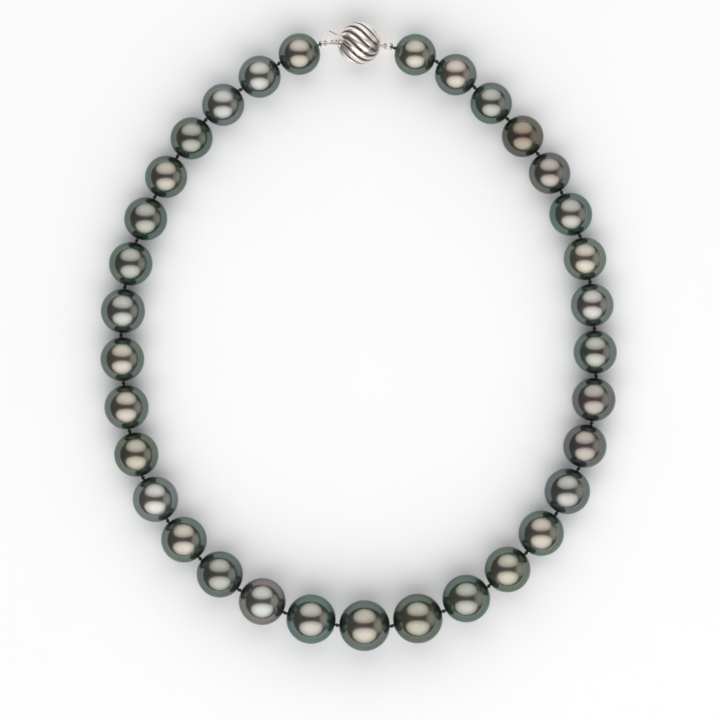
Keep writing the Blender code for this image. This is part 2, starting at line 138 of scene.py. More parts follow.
def strand(path, radius, ply=0, twist=0.0, cols=16, depth=0.14):
    """A round cord along a path; with plies its radius dips between them, and the dips wind round as it goes: the
    radius is the mean times 1 minus the depth times how near the angle is to a groove."""
    t, side, lift = turning_frame(path)
    s = np.concatenate([[0], np.cumsum(np.linalg.norm(np.diff(path, axis=0), axis=1))])[:, None]
    a = np.linspace(0, TAU, cols, endpoint=False)[None, :]
    groove = np.abs(np.cos(ply / 2 * (a - twist * s))) if ply else np.ones_like(a * s)
    r = np.broadcast_to(np.asarray(radius, float).reshape(-1, 1), groove.shape) * (1 - depth + depth * np.sqrt(groove))
    pts = path[:, None] + side[:, None] * (r * np.cos(a))[..., None] + lift[:, None] * (r * np.sin(a))[..., None]
    # painted shade: 'mark' rises in the valleys between the plies
    return ring_loft(pts, marks=1 - groove)


def hoop(centre, major, minor, across, bar_a, bar_b=None, rows=72, cols=20, wave=0.0):
    """A closed ring: the ellipse major x minor in the plane of the two 'across' vectors, thickened by bar_a in that plane
    and bar_b square to it; 'wave' swells it a little at one place, where it is soldered."""
    e1, e2 = (np.asarray(v, float) for v in across)
    n = np.cross(e1, e2)
    u = np.linspace(0, TAU, rows, endpoint=False)[:, None]
    v = np.linspace(0, TAU, cols, endpoint=False)[None, :]
    mid = major * np.cos(u)[..., None] * e1 + minor * np.sin(u)[..., None] * e2
    out = minor * np.cos(u)[..., None] * e1 + major * np.sin(u)[..., None] * e2
    out = out / np.linalg.norm(out, axis=-1, keepdims=True)
    swell = 1 + wave * np.exp(-((u - 1.1) / 0.12) ** 2)
    in_plane, square_to_it = bar_a * swell * np.cos(v), (bar_b or bar_a) * swell * np.sin(v)
    pts = centre + mid + out * in_plane[..., None] + n * square_to_it[..., None]
    # painted shade: 'mark' darkens the inner side of the wire and its underside
    inside, below = np.clip(-np.cos(v), 0, 1) ** 1.5, np.clip(0.35 - np.sin(v), 0, 1)
    return ring_loft(pts, wrap_rows=True, marks=np.clip(0.75 * inside + 0.6 * below, 0, 0.85))


def turned(origin, axis, profile, cols=64, closed=False):
    """A profile of (distance along, radius) pairs spun round an axis through the origin."""
    u = np.asarray(axis, float) / np.linalg.norm(axis)
    side = np.cross(u, [0, 0, 1.0])
    side /= np.linalg.norm(side)
    lift = np.cross(u, side)
    p = np.asarray(profile, float)
    a = np.linspace(0, TAU, cols, endpoint=False)
    ring = np.cos(a)[:, None] * side + np.sin(a)[:, None] * lift
    pts = origin + p[:, None, :1] * u + p[:, None, 1:] * ring
    return ring_loft(pts, wrap_rows=closed)


def bar_sweep(path, half_thick, half_wide, power=4.0, cols=28, wide=(0, 0, 1.0)):
    """A bar along a path with a rounded-box section: the section is |a/half_thick|^p + |b/half_wide|^p = 1, with b along
    the fixed width direction."""
    t = np.gradient(path, axis=0)
    t /= np.linalg.norm(t, axis=1, keepdims=True)
    b = np.asarray(wide, float)
    n = np.cross(t, b)
    n /= np.linalg.norm(n, axis=1, keepdims=True)
    v = np.linspace(0, TAU, cols, endpoint=False)[None, :]
    c, s = np.cos(v), np.sin(v)
    q = (np.abs(c) ** power + np.abs(s) ** power) ** (-1 / power)
    ht, hw = np.reshape(half_thick, (-1, 1)), np.reshape(half_wide, (-1, 1))
    pts = path[:, None] + n[:, None] * (ht * q * c)[..., None] + b * (hw * q * s)[..., None]
    # painted shade: 'mark' darkens the section's faces and underside, leaving its upper edge light
    return ring_loft(pts, marks=0.4 * np.clip((0.78 - s) / 0.3, 0, 1))


def along(points, count):
    """Evenly spaced points on a polyline, softened at its corners by a running mean."""
    p = np.asarray(points, float)
    s = np.concatenate([[0], np.cumsum(np.linalg.norm(np.diff(p, axis=0), axis=1))])
    t = np.linspace(0, s[-1], count)
    q = np.stack([np.interp(t, s, p[:, k]) for k in range(3)], axis=1)
    k = max(3, count // 24 | 1)
    pad = np.concatenate([np.repeat(q[:1], k // 2, 0), q, np.repeat(q[-1:], k // 2, 0)])
    out = np.stack([np.convolve(pad[:, c], np.ones(k) / k, "valid") for c in range(3)], axis=1)
    out[0], out[-1] = q[0], q[-1]
    return out


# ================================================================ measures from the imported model
def box(node):
    low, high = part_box(node)
    return np.array(low) * MM, np.array(high) * MM


def centre_of(node):
    low, high = box(node)
    return (low + high) / 2


def size_of(node):
    low, high = box(node)
    return high - low


PEARLS = 33
pearl_nodes = [f"pearl_{i + 1:02d}" for i in range(PEARLS)]
centres = np.array([centre_of(name) for name in pearl_nodes])
radii = np.array([size_of(name)[2] / 2 for name in pearl_nodes])
body_of = {node: body for body, nodes in frame["record"]["behaviour"]["bodies"].items() for node in nodes}
BORE_R, KNOT_R = 0.50, 0.50
RING_WIRE = 0.30                                # radius of the jump rings' wire
BALL_R = 5.95
ROOT = np.array([BALL_R - 4.25, 0.60, 0])       # the leaf's fold, from the ball's centre


def thread_ends(node):
    """The two knots of a silk node: its farthest points lie one knot radius beyond them."""
    mesh = frame["nodes"][node].data
    flat = np.empty(len(mesh.vertices) * 3, np.float32)
    mesh.vertices.foreach_get("co", flat)
    co = flat.astype(float).reshape(-1, 3) * MM
    mid = (co.max(0) + co.min(0)) / 2
    a = co[np.argmax(np.linalg.norm(co - mid, axis=1))]
    u = (a - mid) / np.linalg.norm(a - mid)
    half = np.linalg.norm(a - mid) - KNOT_R
    return mid, u, half


ring_l, ring_r = centre_of("jump_ring_left"), centre_of("jump_ring_right")
ring_l_mid, ring_r_mid = (size_of(f"jump_ring_{hand}")[0] / 2 - RING_WIRE for hand in ("left", "right"))
hinge = next(j for j in frame["record"]["behaviour"]["joints"] if j["name"] == "lever_press")
ball = np.array(hinge["pos_m"]) * MM - ROOT

knots, threads = {}, {}                         # knot i lies between pearls i and i + 1, counted from 1
for i in range(2, PEARLS, 2):
    mid, u, half = thread_ends(f"silk_{i:02d}")
    if u @ (centres[i] - centres[i - 2]) < 0:
        u = -u
    threads[i] = (mid, u, half)
    knots[i - 1], knots[i] = mid - u * half, mid + u * half


def ring_wire_near(i, ring, mid):
    """Where the end loop of pearl i goes round its jump ring's wire."""
    flat = ring[:2] - centres[i][:2]
    return np.append(centres[i][:2] + flat * (1 - mid / np.linalg.norm(flat)), ring[2])


wire_l, wire_r = ring_wire_near(0, ring_l, ring_l_mid), ring_wire_near(PEARLS - 1, ring_r, ring_r_mid)
inner = np.array([knots[i + 1] - knots[i] for i in range(1, PEARLS - 1)]) * (1, 1, 0)
bore_dirs = np.vstack([wire_l - centres[0], inner, wire_r - centres[-1]])
bore_dirs /= np.linalg.norm(bore_dirs, axis=1, keepdims=True)


# ================================================================ finishes
def finish_of(name):
    mat = bpy.data.materials.new(name)
    mat.use_nodes = True
    tree = mat.node_tree
    return mat, tree, tree.nodes["Principled BSDF"]


def node(tree, kind, **values):
    made = tree.nodes.new("ShaderNode" + kind)
    for key, value in values.items():
        if hasattr(made, key):
            setattr(made, key, value)
        else:
            made.inputs[key.replace("_", " ")].default_value = value
    return made


def blend_of(tree, factor, a, b, how="MIX"):
    """Colour a towards colour b by a factor; each may be a socket or a plain colour."""
    mix = tree.nodes.new("ShaderNodeMix")
    mix.data_type, mix.blend_type = "RGBA", how
    for socket, value in ((mix.inputs[0], factor), (mix.inputs[6], a), (mix.inputs[7], b)):
        if hasattr(value, "is_linked"):
            tree.links.new(value, socket)
        else:
            socket.default_value = value if isinstance(value, float) else (*value, 1.0)
    return mix.outputs[2]


def reshaped(tree, value, low, high, to_low, to_high, smooth=False):
    span = node(tree, "MapRange")
    span.interpolation_type = "SMOOTHSTEP" if smooth else "LINEAR"
    tree.links.new(value, span.inputs[0])
    for k, v in zip((1, 2, 3, 4), (low, high, to_low, to_high)):
        span.inputs[k].default_value = v
    return span.outputs[0]


def summed(tree, a, b):
    add = node(tree, "Math", operation="ADD")
    tree.links.new(a, add.inputs[0])
    tree.links.new(b, add.inputs[1])
    return add.outputs[0]


def speckle(tree, coords, scale, detail=2.0, rough=0.5):
    noise = node(tree, "TexNoise", Scale=scale, Detail=detail, Roughness=rough)
    tree.links.new(coords, noise.inputs["Vector"])
    return noise.outputs["Fac"]


def bumped(tree, shader, height, strength, distance):
    bump = node(tree, "Bump", Strength=strength, Distance=distance)
    tree.links.new(height, bump.inputs["Height"])
    tree.links.new(bump.outputs["Normal"], shader.inputs["Normal"])


def mark_of(tree):
    return node(tree, "Attribute", attribute_name="mark").outputs["Fac"]


NACRE_ROUGH = 0.195
GREEN_SHEEN = (0.225, 0.262, 0.200)


def nacre(name, place, radius, crown, flank):
    """Lustrous nacre. Going down from the top of the pearl its colour passes from the lighter crown tone, through a
    greener one, to the darker flank tone round the sides: painted sheen, standing in for how the nacre's reflection and
    overtone change with the angle seen from straight above. Clouding makes these zones drift. A satin inner gloss lies
    under a sharper skin."""
    mat, tree, shader = finish_of(name)
    coords = node(tree, "TexCoord").outputs["Object"]
    at = node(tree, "Mapping", Location=tuple(-place / MM))
    tree.links.new(coords, at.inputs["Vector"])
    split = node(tree, "SeparateXYZ")
    tree.links.new(at.outputs["Vector"], split.inputs[0])
    level = split.outputs["Z"]
    cloud = speckle(tree, coords, 170.0, 2.0, 0.6)
    # painted sheen: lighter crown, greener middle and darker flank, fixed by height on the pearl
    crown_sheen_mask = reshaped(tree, level, 0.76 * radius / MM, 0.95 * radius / MM, 0.0, 1.0, smooth=True)
    flank_sheen_mask = reshaped(tree, level, 0.645 * radius / MM, 0.765 * radius / MM, 0.0, 1.0, smooth=True)
    middle = tuple((c + g) / 2 for c, g in zip(crown, GREEN_SHEEN))
    tone = blend_of(tree, summed(tree, crown_sheen_mask, reshaped(tree, cloud, 0.3, 0.7, -0.25, 0.25)), middle, crown)
    tone = blend_of(tree, summed(tree, flank_sheen_mask, reshaped(tree, cloud, 0.3, 0.7, -0.18, 0.18)), flank, tone)
    fine = speckle(tree, coords, 900.0, 3.0, 0.6)
    tone = blend_of(tree, reshaped(tree, fine, 0.35, 0.65, 0.0, 0.14), tone, tuple(0.62 * c for c in crown))
    # painted shade: the inside of the bore, where 'mark' is 1, goes near black
    tone = blend_of(tree, mark_of(tree), tone, (0.012, 0.012, 0.012))
    tree.links.new(tone, shader.inputs["Base Color"])
    tree.links.new(reshaped(tree, cloud, 0.3, 0.7, NACRE_ROUGH - 0.025, NACRE_ROUGH + 0.025), shader.inputs["Roughness"])
    shader.inputs["Metallic"].default_value = 0.88
    shader.inputs["Specular Tint"].default_value = (0.32, 0.42, 0.40, 1)
    shader.inputs["Coat Weight"].default_value = 0.5
    shader.inputs["Coat Roughness"].default_value = 0.08
    shader.inputs["Coat IOR"].default_value = 1.53
    bumped(tree, shader, speckle(tree, coords, 5200.0, 2.0, 0.5), 0.05, 0.00002)
    return mat


def white_gold(name, dark=(0.13, 0.105, 0.085), rough=0.12, tone=(0.80, 0.755, 0.715)):
    """Polished white gold: faint cloudy tarnish, fine drawn scratches in its gloss, and darker metal where 'mark' is
    high:
    partly tarnish in hollows that polish doesn't reach, partly painted shade in recesses, on undersides and on inner
    sides."""
    mat, tree, shader = finish_of(name)
    coords = node(tree, "TexCoord").outputs["Object"]
    cloud = speckle(tree, coords, 700.0, 3.0, 0.6)
    colour = blend_of(tree, reshaped(tree, cloud, 0.35, 0.7, 0.0, 0.35), tone, tuple(c * 0.8 for c in tone))
    # tarnish and painted shade where 'mark' is high
    colour = blend_of(tree, mark_of(tree), colour, dark)
    tree.links.new(colour, shader.inputs["Base Color"])
    drawn = node(tree, "Mapping", Scale=(1.0, 0.16, 1.0), Rotation=(0.2, 0.3, 0.9))
    tree.links.new(coords, drawn.inputs["Vector"])
    scratch = speckle(tree, drawn.outputs["Vector"], 16000.0, 2.0, 0.5)
    tree.links.new(reshaped(tree, scratch, 0.3, 0.8, rough - 0.03, rough + 0.12), shader.inputs["Roughness"])
    shader.inputs["Metallic"].default_value = 1.0
    bumped(tree, shader, scratch, 0.03, 0.00001)
    return mat


def black_silk(name):
    """Twisted black silk: hair-fine fibres, a dull sheen, and painted shade darkening the valleys between the plies."""
    mat, tree, shader = finish_of(name)
    coords = node(tree, "TexCoord").outputs["Object"]
    fibre = speckle(tree, coords, 9000.0, 4.0, 0.65)
    colour = blend_of(tree, fibre, (0.006, 0.006, 0.007), (0.030, 0.030, 0.033))
    # painted shade in the ply valleys, where 'mark' is high
    colour = blend_of(tree, mark_of(tree), colour, (0.002, 0.002, 0.002))
    tree.links.new(colour, shader.inputs["Base Color"])
    tree.links.new(reshaped(tree, fibre, 0.3, 0.7, 0.42, 0.62), shader.inputs["Roughness"])
    shader.inputs["Sheen Weight"].default_value = 0.25
    shader.inputs["Sheen Roughness"].default_value = 0.4
    bumped(tree, shader, fibre, 0.35, 0.00003)
    return mat


# ================================================================ pearls
# overtones: what shows on the crown and what shows round the flank; each pearl's overtone colour is its own, but the
# lighter crown and darker flank are painted sheen
SILVER = ((0.318, 0.306, 0.284), (0.128, 0.155, 0.152))
GREEN = ((0.280, 0.275, 0.242), (0.102, 0.152, 0.128))
OLIVE = ((0.312, 0.284, 0.230), (0.115, 0.148, 0.112))
ROSE = ((0.325, 0.274, 0.252), (0.128, 0.138, 0.136))
CREAM = ((0.335, 0.294, 0.252), (0.112, 0.150, 0.128))
TEAL = ((0.300, 0.274, 0.252), (0.088, 0.150, 0.136))
AUBERGINE = ((0.305, 0.312, 0.290), (0.195, 0.150, 0.155))
BRONZE = ((0.270, 0.208, 0.160), (0.135, 0.112, 0.090))
TONES = [CREAM, SILVER, SILVER, GREEN, CREAM, GREEN, GREEN, SILVER, CREAM, CREAM, OLIVE, SILVER, CREAM, GREEN,
         AUBERGINE, TEAL, CREAM, OLIVE, GREEN, OLIVE, CREAM, SILVER, ROSE, ROSE, GREEN, SILVER, OLIVE, TEAL, ROSE,
         BRONZE, GREEN, CREAM, CREAM]
# how light each pearl is beside the others of its tone
LIGHTER = [0.98, 1.05, 1.0, 0.84, 0.88, 0.86, 0.90, 0.92, 0.96, 0.98, 0.90, 1.14, 1.0, 0.88, 1.05, 1.02, 0.94, 0.88, 0.92,
           0.98, 0.96, 0.90, 0.85, 0.85, 0.98, 1.02, 1.12, 0.96, 0.84, 0.78, 0.97, 1.04, 1.04]


def pearl_surface(place, r, u, seed, cols=112, rows=76):
    """A near-perfect ball with its bore: rows run from one mouth to the other over the outside, round the eased lip, and
    back through the bore. The outside radius is r less a few hundredths of a millimetre of slow waviness: the sum of a
    two-lobed and a three-lobed swell whose strengths differ from pearl to pearl."""
    side = np.cross([0, 0, 1.0], u)
    side /= np.linalg.norm(side)
    lift = np.cross(u, side)
    ease = 0.12
    open_at = math.asin((BORE_R + ease) / r)
    th = np.linspace(open_at, math.pi - open_at, rows)
    x, rho = r * np.cos(th), r * np.sin(th)
    k = np.linspace(0, math.pi / 2, 5)[1:]
    lip_x = -x[0] + ease * np.sin(k)
    lip_r = BORE_R + ease - ease * (1 - np.cos(k))
    through = np.array([0.86, 0.5, 0.0, -0.5, -0.86]) * r
    x = np.concatenate([x, lip_x, -through, -lip_x[::-1]])
    rho = np.concatenate([rho, lip_r, np.full(5, BORE_R), lip_r[::-1]])
    skin = np.concatenate([np.sin(th) ** 2, np.zeros(13)])[:, None]
    a = np.linspace(0, TAU, cols, endpoint=False)[None, :]
    rng = np.random.default_rng(seed)
    w2, w3, p2, p3 = rng.uniform(0.2, 1, 2).tolist() + rng.uniform(0, TAU, 2).tolist()
    wave = 0.012 * w2 * (1 - np.cos(2 * a + p2)) + 0.008 * w3 * (1 - np.cos(3 * a + p3 + 2 * x[:, None] / r))
    spin = rho[:, None] - skin * wave
    pts = place + x[:, None, None] * u + (spin * np.cos(a))[..., None] * side + (spin * np.sin(a))[..., None] * lift
    # painted shade: 'mark' is 1 on the rows through the bore
    dark = np.concatenate([np.zeros(rows + 2), np.ones(9), np.zeros(2)])[:, None]
    return ring_loft(pts, wrap_rows=True, marks=dark)


for i in range(PEARLS):
    crown, flank = (tuple(c * LIGHTER[i] for c in tone) for tone in TONES[i])
    cad = pearl_nodes[i]
    coat = nacre(f"nacre_{i + 1:02d}", centres[i], radii[i], crown, flank)
    make_piece(f"pearl_skin_{i + 1:02d}", [pearl_surface(centres[i], radii[i], bore_dirs[i], 40 + i)], coat, body_of[cad],
               [cad])


# ================================================================ silk
SILK = black_silk("black_silk")


def overhand(place, u, reach=0.325, wrap=0.335, cord=0.20, turns=2.15, spin=0.0):
    """A tightened knot: cord wound round the thread a little over twice. It travels evenly along the thread while its
    distance from the thread's middle rises from nothing, holds, and falls back to nothing."""
    side = np.cross([0, 0, 1.0], u)
    side /= np.linalg.norm(side)
    lift = np.cross(u, side)
    t = np.linspace(0, 1, 80)
    away = wrap * np.clip(np.minimum(t, 1 - t) / 0.07, 0, 1) ** 0.5
    a = spin + TAU * turns * t
    path = (place + ((2 * t - 1) * reach)[:, None] * u + (away * np.cos(a))[:, None] * side
            + (away * np.sin(a))[:, None] * lift)
    return strand(path, cord, ply=2, twist=3.6, cols=14)


def core_thread(place, u, low, high, dense, radius=0.27):
    """The strung thread, straight through a pearl, with its rows close together only where it shows."""
    x = np.unique(np.concatenate([np.linspace(a, b, 22) for a, b in dense] + [np.linspace(low, high, 6)]))
    return strand(place + x[:, None] * u, radius, ply=3, twist=4.2, cols=18)


for i, (mid, u, half) in threads.items():
    shells = [core_thread(mid, u, -half - 1.0, half + 1.0, [(-half - 1.0, -half + 1.0), (half - 1.0, half + 1.0)]),
              overhand(mid - u * half, u, spin=0.7 * i), overhand(mid + u * half, u, spin=1.9 * i)]
    make_piece(f"knotted_silk_{i:02d}", shells, SILK, body_of[f"silk_{i:02d}"], [f"silk_{i:02d}"])


def end_loop(i, wire_at, knot_out, name, cad):
    """The strand's end: thread in the pearl, a knot at its mouth, and a doubled loop that goes from there round the jump
    ring's wire and back."""
    u = bore_dirs[i]
    side = np.cross([0, 0, 1.0], u)
    side /= np.linalg.norm(side)
    lift = np.cross(u, side)
    reach = np.linalg.norm(wire_at - centres[i])
    knot_at = radii[i] + knot_out
    hold, cord = RING_WIRE + 0.10 + 0.17, 0.165
    a = np.radians(np.linspace(-90, 90, 13))
    flat = [(knot_at, -0.12), (knot_at + 0.35, -0.24), (reach - 0.34, -0.45)]
    flat += [(reach + hold * math.cos(v), hold * math.sin(v)) for v in a]
    flat += [(reach - 0.34, 0.45), (knot_at + 0.35, 0.24), (knot_at, 0.12)]
    path = along([centres[i] + x * u + z * lift for x, z in flat], 96)
    shells = [core_thread(centres[i], u, -(radii[i] - 0.2), knot_at, [(knot_at - 1.2, knot_at)]),
              overhand(centres[i] + u * knot_at, u, reach=0.30, wrap=0.27, cord=0.18, spin=0.5),
              strand(path, cord, ply=2, twist=4.4, cols=14)]
    make_piece(name, shells, SILK, body_of[cad], [cad])


end_loop(0, wire_l, -0.30, "end_loop_left", "silk_end_left")
end_loop(PEARLS - 1, wire_r, 0.28, "end_loop_right", "silk_end_right")

# ================================================================ clasp
GOLD = white_gold("polished_white_gold", dark=(0.17, 0.12, 0.095), rough=0.20, tone=(0.76, 0.665, 0.62))
# painted light: the ball's white gold is a much lighter tone than the rings', lever's and stem's, standing in for the
# brighter reflections it shows
BALL_GOLD = white_gold("ball_white_gold", dark=(0.21, 0.155, 0.12), rough=0.30, tone=(0.94, 0.88, 0.84))
# the catch box's dark brownish tone is partly unpolished metal and partly painted shade inside the ball
INSIDE = white_gold("unpolished_shaded_inside", rough=0.38, tone=(0.42, 0.33, 0.27))
TILT = math.radians(-7.0)
CAP_L, CAP_R = math.radians(26.0), math.radians(15.0)
WALL, RIBS = 0.95, 14

LEAF_OUT = (-(BALL_R - 0.65), 2.12)             # a point of the leaf's middle line near the ball's skin
SLOPE = (LEAF_OUT[1] - ROOT[1]) / (LEAF_OUT[0] - ROOT[0])
SHOULDER = -(BALL_R - 1.80)                     # where the leaf narrows to its lever
LEAF_HALF, LIP_GAP = 0.20, 0.05
LIP = ROOT[1] + SLOPE * (SHOULDER - ROOT[0]) + LEAF_HALF * math.hypot(1, SLOPE) + LIP_GAP


def on_ball(theta, phi, r):
    """A point of the ball from its angle off the ribs' left pole, its angle round that axis, and its radius."""
    theta, phi, r = np.broadcast_arrays(theta, phi, r)
    x, y, z = -r * np.cos(theta), r * np.sin(theta) * np.cos(phi), r * np.sin(theta) * np.sin(phi)
    c, s = math.cos(TILT), math.sin(TILT)
    return np.stack([c * x - s * y, s * x + c * y, z], axis=-1) + ball


def rib(number, rows=72):
    """One twisted rib: its angle round the axis swings by 78 degrees from cap to cap, most of it in the middle. Across it
    the radius falls from a round crown to its edges, with a fine groove inside each edge; the back is flat."""
    th = np.linspace(CAP_L - 0.035, math.pi - CAP_R + 0.035, rows)[:, None]
    f = np.clip((th - CAP_L) / (math.pi - CAP_L - CAP_R), 0, 1)
    swing = math.radians(78.0) * (f * f * (3 - 2 * f) * 0.6 + f * 0.4)
    v = np.concatenate([np.linspace(-1, 1, 29), np.linspace(0.86, -0.86, 9)])[None, :]
    outer = np.concatenate([np.ones(29), np.zeros(9)])[None, :]
    fall = 0.14 * np.sqrt(np.sin(math.pi * f)) * np.abs(v) ** 2.2
    groove = np.exp(-((np.abs(v) - 0.70) / 0.055) ** 2)
    edge = np.clip((np.abs(v) - 0.93) / 0.07, 0, 1) ** 2
    r_out = BALL_R - fall - 0.10 * groove * (0.25 + 0.75 * np.sin(math.pi * f)) - 0.10 * edge
    r = np.where(outer > 0, r_out, BALL_R - WALL)
    phi = TAU * (number + 0.345 + 0.345 * v) / RIBS + swing
    # tarnish and painted shade: 'mark' darkens the grooves, the rib edges and the flat back inside the ball
    marks = np.where(outer > 0, np.clip(groove * 0.9 + edge * 0.35, 0, 1), 0.75) * np.ones_like(f)
    return ring_loft(on_ball(th, phi, r), marks=marks)


def left_cap(cols=144):
    """The pierced cap: for each direction round the pole the rows run from the cap's rim to the keyhole's outline, in
    through the wall, and back behind. The outline is the larger of two rounded boxes, |c / y|^p + |s / half|^p = 1 in
    each, the tongue's and the notch's; every point then takes the x that puts it on its sphere."""
    a = np.linspace(0, TAU, cols, endpoint=False)
    c, s = np.cos(a), np.sin(a)
    pole = -math.sin(TILT) * BALL_R

    def rounded(up, down, half, power):
        y = np.where(c > 0, up, down)
        return (np.abs(c / y) ** power + np.abs(s / half) ** power) ** (-1 / power)

    low = -0.07 - 0.25 - 0.12
    hole = np.maximum(rounded(LIP - pole, pole - low, 1.32, 16), rounded(2.78 - pole, pole - low, 0.62, 14))
    rim = on_ball(CAP_L + 0.03, a, BALL_R) - ball
    rim_y, rim_z = rim[:, 1], rim[:, 2]
    hy, hz = pole + hole * c, hole * s
    share = np.concatenate([np.linspace(0, 1, 14), np.ones(4), np.linspace(1, 0, 8)])[:, None]
    depth = np.concatenate([np.zeros(14), [0.10, 0.35, 0.7, 0.95], np.full(8, WALL)])[:, None]
    ring = (np.exp(-((share - 0.30) / 0.05) ** 2) + 0.6 * np.exp(-((share - 0.97) / 0.03) ** 2)) * (depth == 0)
    y, z = rim_y + (hy - rim_y) * share, rim_z + (hz - rim_z) * share
    r = BALL_R - depth - 0.07 * ring
    x = -np.sqrt(np.maximum(r * r - y * y - z * z, 0.01))
    # tarnish and painted shade: 'mark' darkens the ring grooves and the wall inside the keyhole and behind it
    marks = np.clip(0.8 * ring + 0.9 * (depth > 0.5), 0, 1)
    return ring_loft(np.stack([x, y, z], axis=-1) + ball, wrap_rows=True, marks=marks)


def right_cap():
    """The closing cap, a dished washer round the stem: the ball's radius less a bell-shaped groove half way out."""
    out = np.radians(np.linspace(17.0, 5.7, 12))
    back = np.radians(np.linspace(5.7, 17.0, 6))
    dip = 0.08 * np.exp(-((np.degrees(out) - 11.5) / 0.8) ** 2)
    r = np.concatenate([BALL_R - dip, np.full(6, BALL_R - WALL)])
    th = np.concatenate([out, back])
    axis = [math.cos(TILT), math.sin(TILT), 0]
    return turned(ball, axis, np.stack([r * np.cos(th), r * np.sin(th)], axis=1), cols=72, closed=True)


make_piece("fluted_ball", [rib(k) for k in range(RIBS)] + [left_cap(), right_cap()], BALL_GOLD, body_of["ball_shell"],
           ["ball_shell"])

EYE_Y = ring_r[1] - ball[1]
eye_x = ring_r[0] - ball[0] - ring_r_mid
eye_mid, eye_bar = RING_WIRE + 0.12 + 0.22, 0.22
stem_end = eye_x - eye_mid - 0.12
stem = [(3.32, 0.02), (3.32, 0.40), (3.34, 0.42), (BALL_R - 0.25, 0.42), (BALL_R - 0.18, 0.47), (BALL_R - 0.04, 0.47),
        (BALL_R + 0.02, 0.40), (stem_end, 0.38), (stem_end + 0.14, 0.34), (stem_end + 0.25, 0.24),
        (stem_end + 0.27, 0.02)]
eye_at = ball + np.array([0, EYE_Y, 0])
stem = [(x, r * (0.99 if x < BALL_R - 0.3 else 0.88)) for x, r in stem]
make_piece("stem_eye", [turned(eye_at, (1, 0, 0), stem, cols=40),
                        hoop(eye_at + np.array([eye_x, 0, 0]), eye_mid, eye_mid, ((1, 0, 0), (0, 0, 1)), eye_bar)],
           GOLD, body_of["ball_eye"], ["ball_eye"])
flat_axes = ((1, 0, 0), (0, 1, 0))
make_piece("ring_left_wire", [hoop(ring_l, ring_l_mid, ring_l_mid, flat_axes, RING_WIRE, rows=96, wave=0.03)], GOLD,
           body_of["jump_ring_left"], ["jump_ring_left"])
make_piece("ring_right_wire", [hoop(ring_r, ring_r_mid, ring_r_mid, flat_axes, RING_WIRE, rows=96, wave=0.03)], GOLD,
           body_of["jump_ring_right"], ["jump_ring_right"])


def eye_plate(centre, hole, half_x, half_z, thick, cols=72):
    """The tongue's flat end: a rounded plate with its hole, rows running round the plate's section from the hole out over
    the top, round the edge, and back underneath."""
    a = np.linspace(0, TAU, cols, endpoint=False)
    out = (np.abs(np.cos(a) / half_x) ** 3.2 + np.abs(np.sin(a) / half_z) ** 3.2) ** (-1 / 3.2)
    share = np.array([0.04, 0.12, 0.5, 0.88, 0.97, 1.0, 1.0, 0.97, 0.88, 0.5, 0.12, 0.04, 0.0, 0.0])[:, None]
    level = np.array([0.9, 1, 1, 1, 0.9, 0.6, -0.6, -0.9, -1, -1, -1, -0.9, -0.6, 0.6])[:, None] * thick / 2
    r = hole + (out - hole) * share
    pts = np.stack([r * np.cos(a), level * np.ones_like(r), r * np.sin(a)], axis=-1)
    return ring_loft(pts + centre, wrap_rows=True)


STRIP_Y = -0.07                                 # the strip's middle plane, from the ball's centre
TONGUE_HALF = 1.19                              # half the tongue's width
COLLAR = -(BALL_R + 1.9)                        # where the strip narrows to its eye
eye_hole = np.array([ring_l[0] - ball[0] + ring_l_mid, STRIP_Y, 0])
k = np.radians(np.linspace(-62, 50, 16))
spine = np.vstack([np.stack([np.linspace(eye_hole[0] + 0.50, 1.45, 90), np.full(90, STRIP_Y), np.zeros(90)], axis=1),
                   np.stack([ROOT[0] + 0.59 * np.cos(k), ROOT[1] + 0.59 * np.sin(k), 0 * k], axis=1)])
x = spine[:, 0]
wide = np.interp(x, [-9.4, COLLAR - 0.05, COLLAR + 0.12, 3.0], [0.76, 0.78, TONGUE_HALF, TONGUE_HALF])
thick = np.concatenate([np.full(88, 0.245), [0.22, 0.19], np.full(16, 0.175)])
make_piece("tongue_plate", [bar_sweep(ball + spine, thick, wide, power=7.0, cols=32),
                            eye_plate(ball + eye_hole, RING_WIRE + 0.12, 0.71, 0.78, 0.49)],
           GOLD, body_of["tongue_strip"], ["tongue_strip"])
bail_at = ball + np.array([-(BALL_R + 0.93), STRIP_Y + 0.25 + 0.53, 0])
make_piece("guard_bail", [hoop(bail_at, 0.72, 0.34, flat_axes, 0.225)],
           GOLD, body_of["guard_loop"], ["guard_loop"])

go = np.array([-1.0, -SLOPE, 0]) / math.hypot(1, SLOPE)
rise = np.array([-math.cos(math.radians(29)), math.sin(math.radians(29)), 0])
NECK_HALF = 0.49                                # half the lever's width
length = (ROOT[0] - SHOULDER) / -go[0]
bend = np.array([-BALL_R - 0.05, 2.26, 0])
spine = np.vstack([ROOT + go * 0.30 + go * np.linspace(0, length - 0.32, 40)[:, None], ROOT + go * (length + 0.02),
                   ROOT + go * (length + 1.15), bend + rise * np.linspace(0.0, 2.55, 26)[:, None]])
spine[42] = (spine[41] + spine[43]) / 2
n = len(spine)
wide = np.concatenate([np.full(40, TONGUE_HALF), np.full(n - 40, NECK_HALF)])
lever = np.linspace(0, 1, 26)
fat = 0.17 + (0.36 - 0.17) * np.clip(lever / 0.2, 0, 1) ** 0.8
fat = fat * np.sqrt(np.clip(1 - ((lever - 0.86) / 0.145).clip(0, 1) ** 2, 0.03, 1))
thick = np.concatenate([np.full(40, 0.195), np.full(n - 66, 0.155), fat])
wide[-26:] = NECK_HALF * np.sqrt(np.clip(1 - ((lever - 0.80) / 0.22).clip(0, 1) ** 2, 0.04, 1))
leaf_shell = bar_sweep(ball + spine, thick, wide, power=4.5, cols=32)
edge = [(TONGUE_HALF, 0.02), (TONGUE_HALF, 0.26), (1.12, 0.335), (1.0, 0.345)]
